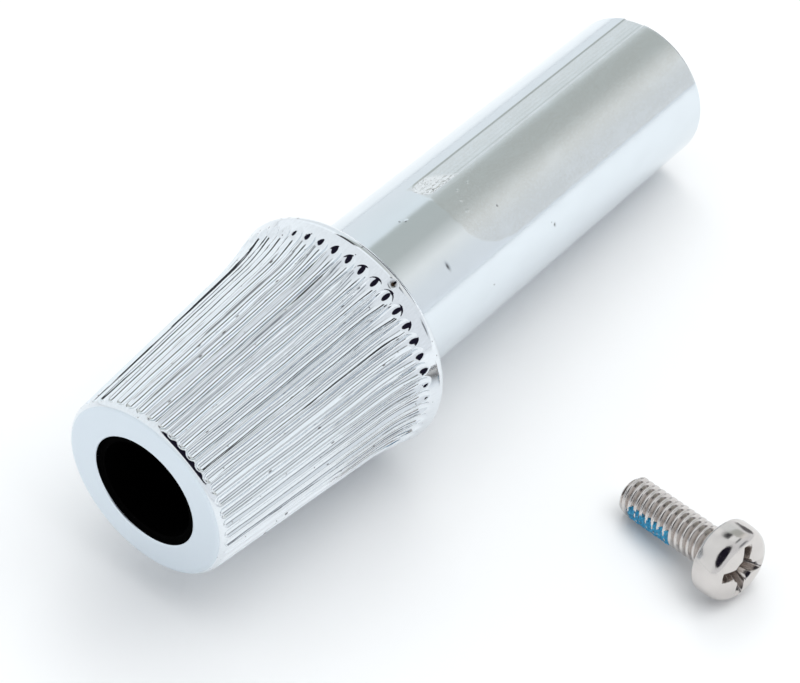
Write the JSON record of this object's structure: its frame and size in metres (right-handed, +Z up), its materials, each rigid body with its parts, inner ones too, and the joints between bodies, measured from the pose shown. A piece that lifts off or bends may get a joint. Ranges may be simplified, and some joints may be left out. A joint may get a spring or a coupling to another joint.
{
  "type": "fluted shank knob",
  "caption": "Bright-plated knob with a tapered fluted grip, a plain hollow shank and a black-lined bore, lying beside its loose pan head fixing screw.",
  "frame": {"origin": "middle of the box round the knob and the screw, on the surface that they lie on", "axes": "+Z is up from the surface; +X runs from the grip's front face towards the shank's end; the knob's axis is in a plane of constant Y and dips by about 4.7 degrees towards +X, because the knob lies on its flange and on the end of its thinner shank; the screw lies on the -Y side of the knob"},
  "size_m": [0.0824, 0.0586, 0.0259],
  "materials": {
    "chromed_casting": "bright plating over a die casting, with small pits",
    "plated_tube": "satin-bright plating over fine grinding marks",
    "black_nylon": "matt black moulding",
    "hub_steel": "turned steel",
    "screw_steel": "warm nickel-plated steel",
    "blue_nylon": "blue sprayed nylon"
  },
  "bodies": {
    "knob": {"fluted_grip": "chromed_casting", "shank_tube": "plated_tube", "bore_lining": "black_nylon", "spindle_hub": "hub_steel"},
    "screw": {"fixing_screw": "screw_steel", "locking_patch": "blue_nylon"}
  },
  "joints": [
    {"name": "screw_lift", "type": "slide", "parent": "knob", "child": "screw", "axis": [0, 0, 1], "range_m": [0, 0.06]}
  ]
}
